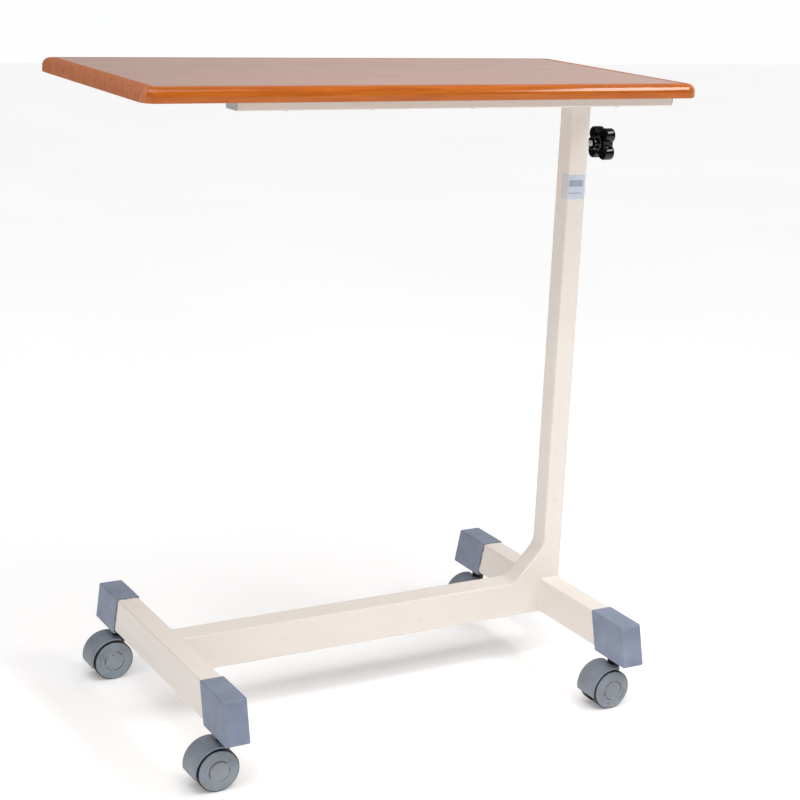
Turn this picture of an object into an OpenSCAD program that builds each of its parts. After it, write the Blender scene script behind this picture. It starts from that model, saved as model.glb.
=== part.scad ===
// Overbed table: H-shaped wheeled base, telescoping column at one end and a wood-edged top.
// Origin on the floor under the middle of the top. +X points to the column end, -Y is the front.

/* [Top] */
// Length of the top along X
top_l = 768; // [700:2:820]
// Width of the top along Y
top_w = 366; // [330:2:420]
// Thickness of the top
top_t = 18; // [16:1:22]
// Height of the top's surface above the floor
top_h = 860; // [820:5:900]
// Width of the wood lippings
lip_w = 18; // [18:1:24]
// Corner radius of the top, seen from above
top_corner_r = 18; // [12:1:18]
// Rounding of the top's upper edge
edge_round = 10; // [4:1:11]
// Thickness of the laminate sheet
laminate_t = 0.8; // [0.6:0.1:1.2]

/* [Under-frame] */
// Depth of the under-frame tube along Y
rail_w = 30; // [20:1:40]
// Height of the under-frame tube
rail_h = 13; // [10:1:16]
// Distance from the top's front edge to the front rail
rail_setback = 31; // [20:1:60]
// Length of the front and back rails
rail_l = 620; // [560:10:640]
// Middle of the rails along X
rail_x = 52; // [40:1:56]
// Wall of the under-frame tube
rail_wall = 1.2; // [1:0.1:2]

/* [Base] */
// Distance between the middles of the two cross bars
base_span = 590; // [560:5:620]
// Middle of the left cross bar along X
left_bar_x = -275; // [-280:1:-270]
// Width of the base tubes
bar_w = 30; // [28:1:32]
// Width of the long bar, flush with the column at its front
long_bar_w = 38; // [30:1:40]
// Height of the base tubes
bar_h = 50; // [45:1:52]
// Height of the base tubes' upper face above the floor
bar_top = 125.5; // [120:0.5:130]
// Wall of the base tubes
bar_wall = 1.5; // [1.2:0.1:2]
// Length of the cross bars, between the ends of the tubes
bar_l = 410; // [380:5:415]
// Outer length of the base at the upper edge of the end caps
base_w = 435; // [425:5:440]

/* [End caps] */
// Length of an end cap along Y
cap_l = 72; // [60:1:80]
// How far the end cap's foot leans outwards
cap_lean = 14.5; // [5:0.5:16]
// Wall of the end cap beside the tube
cap_side = 1.5; // [1.2:0.1:2]
// Thickness of the end cap below the tube
cap_floor = 4.5; // [4:0.5:6]

/* [Column] */
// Width of the outer column
outer_w = 30; // [28:1:32]
// Width of the inner column
inner_w = 25; // [22:0.5:25]
// Wall of both column tubes
col_wall = 1.5; // [1.2:0.1:1.5]
// Height of the outer column's upper end above the floor
outer_top = 819.5; // [812:0.5:820]
// Height of the inner column's lower end above the floor
inner_foot = 150; // [140:5:250]
// Height of the gusset up the column
gusset_h = 51; // [40:1:80]
// Length of the gusset along the bar
gusset_l = 47; // [40:1:80]

/* [Clamp] */
// Height of the clamp knob above the floor
knob_z = 760; // [700:5:780]
// Distance from the column's middle to the knob's outer face
knob_out = 55.5; // [52:0.5:60]
// Thickness of the knob's head
knob_t = 16; // [12:1:18]
// Radius from the knob's middle to the middle of a lobe
lobe_at = 17; // [14:0.5:18]
// Radius of a lobe
lobe_r = 9.3; // [8:0.1:10]
// Radius of the clamp stud
stud_r = 4; // [3:0.5:5]

/* [Castors] */
// Radius of a castor wheel over its tyre
wheel_r = 28; // [26:0.5:29]
// Distance from the swivel axis to the axle
trail = 13; // [12:1:18]
// Distance of the swivel axes from the long bar's middle
castor_y = 184; // [178:1:190]
// Width of a castor hood
hood_w = 40; // [38:1:44]
// Inner radius of the hood
hood_r = 30.4; // [29:0.2:31]
// Wall of the hood
hood_wall = 2.2; // [1.4:0.1:2.4]
// Radius of the swivel stem
stem_r = 5; // [4:0.5:5]
// Radius of the axle
axle_r = 3; // [2.5:0.5:4]

/* [Hidden] */
$fn = 64;

cream = [0.93, 0.90, 0.86];
cap_grey = [0.50, 0.55, 0.64];
hood_grey = [0.52, 0.56, 0.60];
disc_grey = [0.60, 0.64, 0.67];
wood = [0.76, 0.42, 0.18];
steel = [0.72, 0.72, 0.74];
black = [0.08, 0.08, 0.09];
eps = 0.01;

// Base
right_bar_x = left_bar_x + base_span;
bar_low = bar_top - bar_h;
cap_low = bar_low - cap_floor;
cap_top = bar_top + 1;
cap_w = bar_w + 2 * cap_side;
cap_y = base_w / 2;

// Column
col_x = right_bar_x;
bush_flange = 3;
bush_gap = 0.3;
plate_t = 5;
plate_l = 90;
plate_w = 110;
board_low = top_h - top_t;
rail_low = board_low - rail_h;
plate_low = rail_low - plate_t;

// Under-frame
rail_y = top_w / 2 - rail_setback - rail_w / 2;
rail_end = rail_x - rail_l / 2;
cross_l = 2 * rail_y - rail_w;
left_cross_x = rail_end + 70;
column_cross_gap = 44;
column_cross_w = 25;
screw_r = 2.1;
screw_head_r = 4.2;
screw_head_h = 2.2;
screw_l = 12;
screw_xs = [-190, -76, 66, 226, 284];

// Clamp
nut_h = 6.5;
pad_r = 3.2;
pad_t = 2;
pad_gap = 0.3;
pad_x = col_x + inner_w / 2 + pad_gap;
stud_x = pad_x + pad_t;
knob_x = col_x + knob_out - knob_t;
hub_r = 9;
hub_l = 10;
stud_end = knob_x + 8;

// Castors
socket_r = 8;
neck_r = 8.6;
stem_top = bar_low + 24;
socket_top = stem_top + 4;
neck_low = wheel_r + hood_r + hood_wall + 2.2;
boss_top = neck_low - 0.6;
stem_low = wheel_r + 12;
boss_r = 7;
web_t = 5;
rim_in = 7.4;
rim_out = 18.8;
disc_r = wheel_r - 0.6;
tyre_in_r = wheel_r - 3.4;
run_gap = 0.05;

// A closed-wall tube of rectangular section along X, centred on the origin
module tube_x(l, w, h, wall) {
    difference() {
        cube([l, w, h], center = true);
        cube([l + 2, w - 2 * wall, h - 2 * wall], center = true);
    }
}

module tube_y(l, w, h, wall) {
    rotate([0, 0, 90]) tube_x(l, w, h, wall);
}

module tube_z(l, w, wall) {
    difference() {
        cube([w, w, l], center = true);
        cube([w - 2 * wall, w - 2 * wall, l + 2], center = true);
    }
}

// ---- base ----

module cross_bar(x) {
    color(cream)
    difference() {
        translate([x, 0, bar_top - bar_h / 2])
            tube_y(bar_l, bar_w, bar_h, bar_wall);
        for (side = [-1, 1])
            translate([x, side * castor_y, bar_low - 1])
                cylinder(r = socket_r, h = bar_wall + 2);
    }
}

module left_cross_bar() {
    cross_bar(left_bar_x);
}

module right_cross_bar() {
    cross_bar(right_bar_x);
}

module long_bar() {
    clear_l = base_span - bar_w;
    color(cream)
    translate([left_bar_x + base_span / 2, (long_bar_w - bar_w) / 2, bar_top - bar_h / 2])
        tube_x(clear_l, long_bar_w, bar_h, bar_wall);
}

module outer_column() {
    l = outer_top - bar_top;
    color(cream)
    difference() {
        translate([col_x, 0, bar_top + l / 2]) tube_z(l, outer_w, col_wall);
        translate([col_x + outer_w / 2 - col_wall - 1, 0, knob_z])
            rotate([0, 90, 0]) cylinder(r = stud_r + run_gap, h = col_wall + 2);
    }
}

// A folded sheet wedge: two cheeks and the sloping plate between them
module column_gusset() {
    wall = 2;
    x = col_x - outer_w / 2;
    color(cream)
    translate([x, 0, bar_top])
    rotate([90, 0, 0])
    difference() {
        linear_extrude(outer_w, center = true)
            polygon([[0, 0], [-gusset_l, 0], [0, gusset_h]]);
        linear_extrude(outer_w - 2 * wall, center = true)
            polygon([[1, -1], [-gusset_l + 2.6 * wall, -1], [1, gusset_h - 2 * wall]]);
    }
}

module clamp_nut() {
    color(cream)
    translate([col_x + outer_w / 2, 0, knob_z])
    rotate([0, 90, 0])
    difference() {
        cylinder(r = 7.5, h = nut_h, $fn = 6);
        translate([0, 0, -1]) cylinder(r = stud_r + run_gap, h = nut_h + 2);
    }
}

// Guide bush: a flange on the outer column's end and a skirt inside it
module column_bush() {
    skirt = 30;
    flange = outer_w + 1;
    skirt_w = outer_w - 2 * col_wall;
    hole = inner_w + 2 * bush_gap;
    color(black)
    translate([col_x, 0, outer_top])
    difference() {
        union() {
            translate([-flange / 2, -flange / 2, 0]) cube([flange, flange, bush_flange]);
            translate([-skirt_w / 2, -skirt_w / 2, -skirt]) cube([skirt_w, skirt_w, skirt + eps]);
        }
        translate([-hole / 2, -hole / 2, -skirt - 1]) cube([hole, hole, skirt + 6]);
    }
}

// The leaning side outline of a cap, as [distance from the base's middle, height]
function cap_outline(grow) = [
    [cap_y - cap_l - grow, cap_top],
    [cap_y, cap_top],
    [cap_y + cap_lean, cap_low],
    [cap_y - cap_l + cap_lean - grow, cap_low]
];

module end_cap(x, side) {
    edge = 1.2;
    color(cap_grey)
    translate([x, 0, 0])
    scale_y(side)
    difference() {
        intersection() {
            rotate([90, 0, 90])
                linear_extrude(cap_w, center = true)
                    offset(r = edge) offset(delta = -edge) polygon(cap_outline(0));
            // softened long edges, seen from the end
            translate([0, cap_y + 40, 0])
                rotate([90, 0, 0])
                    linear_extrude(cap_l + 80)
                        translate([0, (cap_top + cap_low) / 2])
                            rounded_square([cap_w, cap_top - cap_low], edge);
        }
        translate([-bar_w / 2, 0, bar_low]) cube([bar_w, bar_l / 2, bar_h]);
        translate([0, castor_y, cap_low - 1]) cylinder(r = socket_r, h = cap_floor + 2);
    }
}

module scale_y(side) {
    if (side < 0) {
        mirror([0, 1, 0]) children();
    } else {
        children();
    }
}

module rounded_square(size, r) {
    w = size[0] / 2 - r;
    h = size[1] / 2 - r;
    union() {
        square([size[0], size[1] - 2 * r], center = true);
        square([size[0] - 2 * r, size[1]], center = true);
        for (x = [-w, w], y = [-h, h])
            translate([x, y]) circle(r = r);
    }
}

module end_cap_front_left() {
    end_cap(left_bar_x, -1);
}

module end_cap_back_left() {
    end_cap(left_bar_x, 1);
}

module end_cap_front_right() {
    end_cap(right_bar_x, -1);
}

module end_cap_back_right() {
    end_cap(right_bar_x, 1);
}

// Socket for one swivel stem, pressed up into the cap and the tube
module stem_socket() {
    difference() {
        union() {
            translate([0, 0, neck_low]) cylinder(r = neck_r, h = cap_low - neck_low);
            translate([0, 0, cap_low - eps]) cylinder(r = socket_r, h = socket_top - cap_low + eps);
        }
        translate([0, 0, neck_low - 1])
            cylinder(r = stem_r + run_gap, h = stem_top + 0.5 - neck_low + 1);
    }
}

module stem_sockets() {
    color(black)
    for (x = [left_bar_x, right_bar_x], side = [-1, 1])
        translate([x, side * castor_y, 0]) stem_socket();
}

// ---- lifting column and top ----

module inner_column() {
    l = plate_low - inner_foot;
    color(cream)
    translate([col_x, 0, inner_foot + l / 2]) tube_z(l, inner_w, col_wall);
}

// Plastic block plugged into the inner column's foot, guided by the outer column
module inner_glide() {
    foot = 12;
    plug = 25;
    w = outer_w - 2 * col_wall - 2 * bush_gap;
    plug_w = inner_w - 2 * col_wall;
    color(black)
    translate([col_x, 0, inner_foot])
    union() {
        translate([-w / 2, -w / 2, -foot]) cube([w, w, foot]);
        translate([-plug_w / 2, -plug_w / 2, -eps]) cube([plug_w, plug_w, plug]);
    }
}

module mounting_plate() {
    color(cream)
    translate([col_x - plate_l / 2, -plate_w / 2, plate_low])
        cube([plate_l, plate_w, plate_t]);
}

module long_rail(side) {
    color(cream)
    difference() {
        translate([rail_x, side * rail_y, rail_low + rail_h / 2])
            tube_x(rail_l, rail_w, rail_h, rail_wall);
        for (x = screw_xs)
            translate([x, side * rail_y, rail_low - 1]) cylinder(r = screw_r, h = rail_h + 2);
    }
}

module front_rail() {
    long_rail(-1);
}

module back_rail() {
    long_rail(1);
}

module left_cross_rail() {
    color(cream)
    translate([left_cross_x, 0, rail_low + rail_h / 2])
        tube_y(cross_l, rail_w, rail_h, rail_wall);
}

module column_cross_rails() {
    color(cream)
    for (side = [-1, 1])
        translate([col_x + side * column_cross_gap / 2, 0, rail_low + rail_h / 2])
            tube_y(cross_l, column_cross_w, rail_h, rail_wall);
}

module rail_plugs() {
    head = 2.5;
    body = 12;
    w = rail_w - 2 * rail_wall;
    h = rail_h - 2 * rail_wall;
    color(disc_grey)
    for (end = [-1, 1], side = [-1, 1])
        translate([rail_x + end * rail_l / 2, side * rail_y, rail_low + rail_h / 2])
            rotate([0, 0, end > 0 ? 0 : 180])
            union() {
                translate([head / 2, 0, 0]) cube([head, rail_w - 1, rail_h - 1], center = true);
                translate([(eps - body) / 2, 0, 0]) cube([body + eps, w, h], center = true);
            }
}

// Pan-head screws up through the rails into the board
module frame_screws() {
    color(steel)
    for (x = screw_xs, side = [-1, 1])
        translate([x, side * rail_y, rail_low])
        union() {
            cylinder(r = screw_r, h = rail_h + screw_l);
            translate([0, 0, -0.8]) cylinder(r = screw_head_r, h = 0.8);
            translate([0, 0, -screw_head_h])
                cylinder(r1 = screw_head_r - 1, r2 = screw_head_r, h = screw_head_h - 0.8);
        }
}

module board_core() {
    color(wood)
    difference() {
        translate([-top_l / 2 + lip_w, -top_w / 2 + lip_w, board_low])
            cube([top_l - 2 * lip_w, top_w - 2 * lip_w, top_t - laminate_t]);
        for (x = screw_xs, side = [-1, 1])
            translate([x, side * rail_y, board_low - 1]) cylinder(r = screw_r, h = screw_l + 1);
    }
}

module top_laminate() {
    color(wood)
    translate([-top_l / 2 + lip_w, -top_w / 2 + lip_w, top_h - laminate_t])
        cube([top_l - 2 * lip_w, top_w - 2 * lip_w, laminate_t]);
}

// Section of a lipping: x is the distance from the corner arc's middle, y the height
module lipping_section(inner) {
    low_r = 2;
    high_r = edge_round;
    out = top_corner_r;
    union() {
        translate([inner, 0]) square([out - high_r - inner, top_t]);
        translate([out - high_r - eps, low_r]) square([high_r + eps, top_t - high_r - low_r]);
        translate([out - high_r - eps, 0]) square([high_r - low_r + eps, low_r + eps]);
        translate([out - low_r, low_r]) circle(r = low_r);
        intersection() {
            translate([out - high_r, top_t - high_r]) circle(r = high_r);
            translate([out - high_r - eps, top_t - high_r - eps]) square(high_r + 1);
        }
    }
}

// A straight lipping along X at +Y, with both of its rounded corners
module lipping(l, w) {
    ax = l / 2 - top_corner_r;
    ay = w / 2 - top_corner_r;
    reach = 30;
    intersection() {
        union() {
            translate([-ax, ay, board_low])
                rotate([90, 0, 90])
                    linear_extrude(2 * ax) lipping_section(top_corner_r - lip_w);
            for (end = [-1, 1])
                translate([end * ax, ay, board_low])
                    rotate([0, 0, end > 0 ? 0 : 90])
                        rotate_extrude(angle = 90) lipping_section(0);
        }
        translate([0, w / 2, board_low - 1])
            linear_extrude(top_t + 2)
                polygon([[-l / 2 - 2, 2], [l / 2 + 2, 2],
                    [l / 2 - reach, -reach], [-l / 2 + reach, -reach]]);
    }
}

module front_lipping() {
    color(wood) rotate([0, 0, 180]) lipping(top_l, top_w);
}

module back_lipping() {
    color(wood) lipping(top_l, top_w);
}

module left_lipping() {
    color(wood) rotate([0, 0, 90]) lipping(top_w, top_l);
}

module right_lipping() {
    color(wood) rotate([0, 0, -90]) lipping(top_w, top_l);
}

// ---- clamp ----

module clamp_knob() {
    color(black)
    translate([knob_x, 0, knob_z])
    rotate([0, 90, 0])
    difference() {
        union() {
            cylinder(r = lobe_at, h = knob_t);
            for (a = [45:90:315])
                rotate([0, 0, a]) translate([lobe_at, 0, 0]) lobe();
            translate([0, 0, -hub_l]) cylinder(r = hub_r, h = hub_l + eps);
        }
        for (a = [0:90:270])
            rotate([0, 0, a]) translate([lobe_at + 6.2, 0, -1]) cylinder(r = 8, h = knob_t + 2);
        translate([0, 0, -hub_l - 1])
            cylinder(r = stud_r, h = stud_end - knob_x + hub_l + 1);
    }
}

// One knob lobe with rounded upper and lower edges
module lobe() {
    round = 3;
    rotate_extrude()
    intersection() {
        translate([0, knob_t / 2]) rounded_square([2 * lobe_r, knob_t], round);
        square([lobe_r, knob_t]);
    }
}

module clamp_stud() {
    color(steel)
    translate([stud_x, 0, knob_z])
        rotate([0, 90, 0]) cylinder(r = stud_r, h = stud_end - stud_x);
}

module clamp_pad() {
    color([0.80, 0.66, 0.32])
    translate([pad_x, 0, knob_z])
        rotate([0, 90, 0]) cylinder(r = pad_r, h = pad_t - 0.3);
}

// ---- castors ----

// Sector of a ring about the axle (Y), from one angle to another above the trailing side
module ring_sector(r_in, r_out, w, from, to) {
    rotate([90, 0, 0])
    translate([0, 0, -w / 2])
    rotate([0, 0, from])
    rotate_extrude(angle = to - from)
    translate([r_in, 0]) square([r_out - r_in, w]);
}

module at_castor(x, side) {
    translate([x, side * castor_y, 0]) children();
}

// Hood: outer shell over both wheels, middle web, axle boss and stem boss
module hood(x, side) {
    low_angle = 60;
    high_angle = 198;
    color(hood_grey)
    at_castor(x, side)
    difference() {
        union() {
            translate([-trail, 0, wheel_r]) {
                ring_sector(hood_r, hood_r + hood_wall, hood_w, low_angle, high_angle);
                ring_sector(0.5, hood_r + eps, web_t, low_angle, high_angle);
                rotate([90, 0, 0]) cylinder(r = boss_r, h = 2 * rim_in - 0.8, center = true);
            }
            translate([0, 0, stem_low - 3]) cylinder(r = boss_r, h = boss_top - stem_low + 3);
        }
        translate([-trail, 0, wheel_r])
            rotate([90, 0, 0]) cylinder(r = axle_r, h = 30, center = true);
        translate([0, 0, stem_low]) cylinder(r = stem_r, h = 60);
    }
}

module stem(x, side) {
    color(steel)
    at_castor(x, side)
        translate([0, 0, stem_low]) cylinder(r = stem_r, h = stem_top - stem_low);
}

module axle(x, side) {
    l = 2 * rim_out - 3;
    color(steel)
    at_castor(x, side)
        translate([-trail, 0, wheel_r])
            rotate([90, 0, 0]) cylinder(r = axle_r, h = l, center = true);
}

// Places a wheel part: which is +1 for the outer wheel, towards the end of the base
module at_wheel(x, side, which) {
    at_castor(x, side)
        translate([-trail, 0, wheel_r])
            rotate([side * which > 0 ? -90 : 90, 0, 0]) children();
}

// Wheel centre: domed disc, rim cup and hub, turned about its own axis
module wheel(x, side, which) {
    dome = 2.2;
    hub = 6.5;
    wall = 2.4;
    bore = axle_r + run_gap;
    bore_end = rim_out - 1.5 + 0.4;
    color(disc_grey)
    at_wheel(x, side, which)
    rotate_extrude()
        polygon([
            [bore, rim_in], [hub, rim_in], [hub, rim_out - wall],
            [tyre_in_r - wall, rim_out - wall], [tyre_in_r - wall, rim_in],
            [tyre_in_r, rim_in], [tyre_in_r, rim_out - 0.4],
            [disc_r, rim_out - 0.4], [disc_r, rim_out + 0.4], [disc_r - 1, rim_out + 1],
            [disc_r - 6, rim_out + 1.6], [14.6, rim_out + dome],
            [14, rim_out + dome - 0.7], [13, rim_out + dome - 0.7], [12.4, rim_out + dome],
            [0, rim_out + dome + 0.5], [0, bore_end], [bore, bore_end]
        ]);
}

module tyre(x, side, which) {
    soft = 1.5;
    color(black)
    at_wheel(x, side, which)
    rotate_extrude()
        polygon([
            [tyre_in_r, rim_in], [wheel_r - soft, rim_in], [wheel_r - 0.4, rim_in + 0.6],
            [wheel_r, rim_in + soft], [wheel_r, rim_out - 0.4 - soft],
            [wheel_r - 0.4, rim_out - 1], [wheel_r - soft, rim_out - 0.4],
            [tyre_in_r, rim_out - 0.4]
        ]);
}

// ---- the nodes ----

left_cross_bar();
right_cross_bar();
long_bar();
outer_column();
column_gusset();
clamp_nut();
column_bush();
stem_sockets();
end_cap_front_left();
end_cap_back_left();
end_cap_front_right();
end_cap_back_right();
inner_column();
inner_glide();
mounting_plate();
front_rail();
back_rail();
left_cross_rail();
column_cross_rails();
rail_plugs();
frame_screws();
board_core();
top_laminate();
front_lipping();
back_lipping();
left_lipping();
right_lipping();
clamp_knob();
clamp_stud();
clamp_pad();
hood(left_bar_x, -1);  // hood_front_left
stem(left_bar_x, -1);  // stem_front_left
axle(left_bar_x, -1);  // axle_front_left
wheel(left_bar_x, -1, 1);  // wheel_outer_front_left
tyre(left_bar_x, -1, 1);  // tyre_outer_front_left
wheel(left_bar_x, -1, -1);  // wheel_inner_front_left
tyre(left_bar_x, -1, -1);  // tyre_inner_front_left
hood(left_bar_x, 1);  // hood_back_left
stem(left_bar_x, 1);  // stem_back_left
axle(left_bar_x, 1);  // axle_back_left
wheel(left_bar_x, 1, 1);  // wheel_outer_back_left
tyre(left_bar_x, 1, 1);  // tyre_outer_back_left
wheel(left_bar_x, 1, -1);  // wheel_inner_back_left
tyre(left_bar_x, 1, -1);  // tyre_inner_back_left
hood(right_bar_x, -1);  // hood_front_right
stem(right_bar_x, -1);  // stem_front_right
axle(right_bar_x, -1);  // axle_front_right
wheel(right_bar_x, -1, 1);  // wheel_outer_front_right
tyre(right_bar_x, -1, 1);  // tyre_outer_front_right
wheel(right_bar_x, -1, -1);  // wheel_inner_front_right
tyre(right_bar_x, -1, -1);  // tyre_inner_front_right
hood(right_bar_x, 1);  // hood_back_right
stem(right_bar_x, 1);  // stem_back_right
axle(right_bar_x, 1);  // axle_back_right
wheel(right_bar_x, 1, 1);  // wheel_outer_back_right
tyre(right_bar_x, 1, 1);  // tyre_outer_back_right
wheel(right_bar_x, 1, -1);  // wheel_inner_back_right
tyre(right_bar_x, 1, -1);  // tyre_inner_back_right
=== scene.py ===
import math

import bmesh
import bpy
from mathutils import Matrix, Vector


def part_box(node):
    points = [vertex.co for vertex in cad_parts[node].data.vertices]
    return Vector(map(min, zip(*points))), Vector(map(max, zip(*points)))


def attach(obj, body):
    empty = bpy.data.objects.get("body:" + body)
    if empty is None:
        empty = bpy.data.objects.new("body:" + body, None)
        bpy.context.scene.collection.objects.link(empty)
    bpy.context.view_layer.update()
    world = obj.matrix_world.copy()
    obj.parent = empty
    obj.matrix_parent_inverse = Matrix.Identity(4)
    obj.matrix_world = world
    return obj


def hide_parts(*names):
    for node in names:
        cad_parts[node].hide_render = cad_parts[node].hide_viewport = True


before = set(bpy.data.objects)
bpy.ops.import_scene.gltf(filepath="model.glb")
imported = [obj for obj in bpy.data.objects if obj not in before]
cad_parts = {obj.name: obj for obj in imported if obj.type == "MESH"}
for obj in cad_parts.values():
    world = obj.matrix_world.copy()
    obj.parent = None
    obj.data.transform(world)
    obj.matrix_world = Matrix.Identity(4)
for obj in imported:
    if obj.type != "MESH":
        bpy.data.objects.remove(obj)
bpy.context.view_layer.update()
mm = 0.001
corners = ["front_left", "back_left", "front_right", "back_right"]
print("frame loaded,", len(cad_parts), "nodes")


# A node socket that takes part in Python sums, in shader trees and geometry trees alike
class Wire:
    def __init__(self, tree, socket):
        self.tree, self.socket = tree, socket

    def out(self, name):
        return Wire(self.tree, self.socket.node.outputs[name])

    def maths(self, operation, *values):
        return addNode(self.tree, "ShaderNodeMath", {"operation": operation}, dict(enumerate(values)))

    def __add__(self, other):
        return self.maths("ADD", self, other)

    def __sub__(self, other):
        return self.maths("SUBTRACT", self, other)

    def __rsub__(self, other):
        return self.maths("SUBTRACT", other, self)

    def __mul__(self, other):
        return self.maths("MULTIPLY", self, other)

    def __truediv__(self, other):
        return self.maths("DIVIDE", self, other)

    def __rtruediv__(self, other):
        return self.maths("DIVIDE", other, self)

    __radd__ = __add__
    __rmul__ = __mul__

    def power(self, other):
        return self.maths("POWER", self, other)

    def magnitude(self):
        return self.maths("ABSOLUTE", self)

    def above(self, edge, soft):              # 0 below the edge, 1 above it, blended over soft
        return addNode(self.tree, "ShaderNodeMapRange", {"interpolation_type": "SMOOTHSTEP"},
                       {"Value": self, "From Min": edge - soft, "From Max": edge + soft})


# Settings are set first, then the inputs are given numbers or linked
def addNode(tree, kind, settings=None, values=None, output=0):
    node = tree.nodes.new(kind)
    for key, setting in (settings or {}).items():
        if key == "stops":
            ramp = node.color_ramp.elements
            while len(ramp) < len(setting):
                ramp.new(1.0)
            for element, (place, colour) in zip(ramp, setting):
                element.position, element.color = place, (*colour, 1)
        else:
            setattr(node, key, setting)
    for key, value in (values or {}).items():
        if isinstance(value, Wire):
            tree.links.new(value.socket, node.inputs[key])
        else:
            node.inputs[key].default_value = value
    return Wire(tree, node.outputs[output] if node.outputs else None)


# A material. Its patterns read Object coordinates, which are metres in the frame
class Finish:
    def __init__(self, name):
        self.material = bpy.data.materials.new(name)
        self.material.use_nodes = True
        self.tree = self.material.node_tree
        self.tree.nodes.clear()
        self.point = self.add("ShaderNodeTexCoord").out("Object")

    def add(self, kind, settings=None, values=None, output=0):
        return addNode(self.tree, kind, settings, values, output)

    def axes(self, of="Object"):              # x, with out("Y") and out("Z") for the others
        return self.add("ShaderNodeSeparateXYZ", None, {0: self.point.out(of)})

    def stretched(self, scale, turn=(0, 0, 0)):
        return self.add("ShaderNodeMapping", None,
                        {"Vector": self.point, "Scale": scale, "Rotation": turn})

    def noise(self, scale, detail=3.0, rough=0.5, bend=0.0, at=None):
        return self.add("ShaderNodeTexNoise", None,
                        {"Vector": at or self.point, "Scale": scale, "Detail": detail,
                         "Roughness": rough, "Distortion": bend})

    def specks(self, scale, size):            # soft round dots, one in some of the cells
        cell = self.add("ShaderNodeTexVoronoi", None, {"Vector": self.point, "Scale": scale})
        return 1 - cell.above(size, size * 0.4)

    def mix(self, factor, first, second):
        pick = {0: factor}
        for key, value in ((6, first), (7, second)):
            pick[key] = value if isinstance(value, Wire) else (*value, 1)
        return self.add("ShaderNodeMix", {"data_type": "RGBA"}, pick, 2)

    def ramp(self, factor, stops):
        return self.add("ShaderNodeValToRGB", {"stops": stops}, {0: factor})

    def bump(self, height, depth, strength=1.0, under=None):
        values = {"Height": height, "Distance": depth, "Strength": strength}
        if under:
            values["Normal"] = under
        return self.add("ShaderNodeBump", None, values)

    def done(self, **sockets):                # the shader's inputs, with _ for the space in a name
        named = {key.replace("_", " "): value for key, value in sockets.items()}
        surface = self.add("ShaderNodeBsdfPrincipled", None, named)
        self.add("ShaderNodeOutputMaterial", None, {"Surface": surface})
        return self.material


paintLook = {"pale": (0.81, 0.757, 0.71), "deep": (0.77, 0.70, 0.642), "grime": (0.46, 0.37, 0.28),
             "chip": (0.25, 0.17, 0.11), "rust": (0.19, 0.085, 0.035),
             # the leaning line where the back caps end on the bars
             "seamLean": 0.2613, "seamEdge": 177 * mm, "seamSoft": 0.6 * mm, "seamTop": 200 * mm}


def paintFinish():
    p, look = Finish("creamPaint"), paintLook
    cloud = p.noise(7, 3)
    smudge = p.noise(38, 4, 0.6).above(0.66, 0.05) * p.noise(11, 2).above(0.5, 0.12)
    chip = p.specks(85, 0.035) * p.noise(16, 2).above(0.57, 0.03)
    colour = p.mix(cloud, look["pale"], look["deep"])
    colour = p.mix(smudge * 0.12, colour, look["grime"])
    colour = p.mix(chip * 0.55, colour, look["chip"])
    place = p.axes()
    seam = (place.out("Y") + place.out("Z") * look["seamLean"]).above(look["seamEdge"], look["seamSoft"])
    rust = seam * (1 - place.out("Z").above(look["seamTop"], 0.01)) * p.noise(150, 3).above(0.42, 0.12)
    colour = p.mix(rust * 0.75, colour, look["rust"])
    peel = p.noise(620, 2)
    normal = p.bump(peel, 0.00006, 0.6, p.bump(p.noise(24, 2), 0.0006, 0.25))
    rough = 0.33 + p.noise(60, 3) * 0.14 + smudge * 0.2
    return p.done(Base_Color=colour, Roughness=rough, Normal=normal, Coat_Weight=0.25,
                  Coat_Roughness=0.18, Specular_IOR_Level=0.45)


# Moulded plastic: fine grain, cloudy tone, scuffs and settled dust
plasticLook = {"grain": 1500, "scratches": 900, "scuffs": 0.35, "gloss": 0.4}


def plasticFinish(name, tone, dust, dustAmount, rough):
    p, look = Finish(name), plasticLook
    cloud = p.noise(26, 4, 0.6)
    darker = tuple(c * 0.84 for c in tone)
    lighter = tuple(min(1, c * 1.14 + 0.01) for c in tone)
    colour = p.ramp(cloud, [(0.3, darker), (0.52, tone), (0.75, lighter)])
    settled = p.noise(75, 5, 0.65).above(0.6, 0.12)
    colour = p.mix(settled * dustAmount, colour, dust)
    fine = p.stretched((1, 1, 0.16), (0.5, 0.3, 0))
    scratch = p.noise(look["scratches"], 2, 0.5, 0.2, fine).above(0.69, 0.04)
    scratch = scratch * p.noise(45, 3).above(0.55, 0.08)
    colour = p.mix(scratch * look["scuffs"], colour, tuple(min(1, c * 1.9 + 0.05) for c in tone))
    normal = p.bump(p.noise(look["grain"], 2), 0.00005, 0.55, p.bump(scratch, 0.00008, -0.5))
    roughness = rough + cloud * 0.12 + settled * 0.18
    return p.done(Base_Color=colour, Roughness=roughness, Normal=normal, Specular_IOR_Level=look["gloss"])


discLook = {"dark": (0.175, 0.205, 0.24), "tone": (0.232, 0.272, 0.318), "light": (0.29, 0.335, 0.375),
            "film": (0.30, 0.27, 0.225), "spot": (0.19, 0.095, 0.05), "rust": (0.10, 0.06, 0.045),
            "scratch": (0.45, 0.48, 0.5),
            "ringFrom": 12.5 * mm, "ringTo": 14.3 * mm, "ringSoft": 0.4 * mm,
            "middle": 7 * mm, "half": 295 * mm, "height": 28 * mm}       # the four axles, folded onto one


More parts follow.
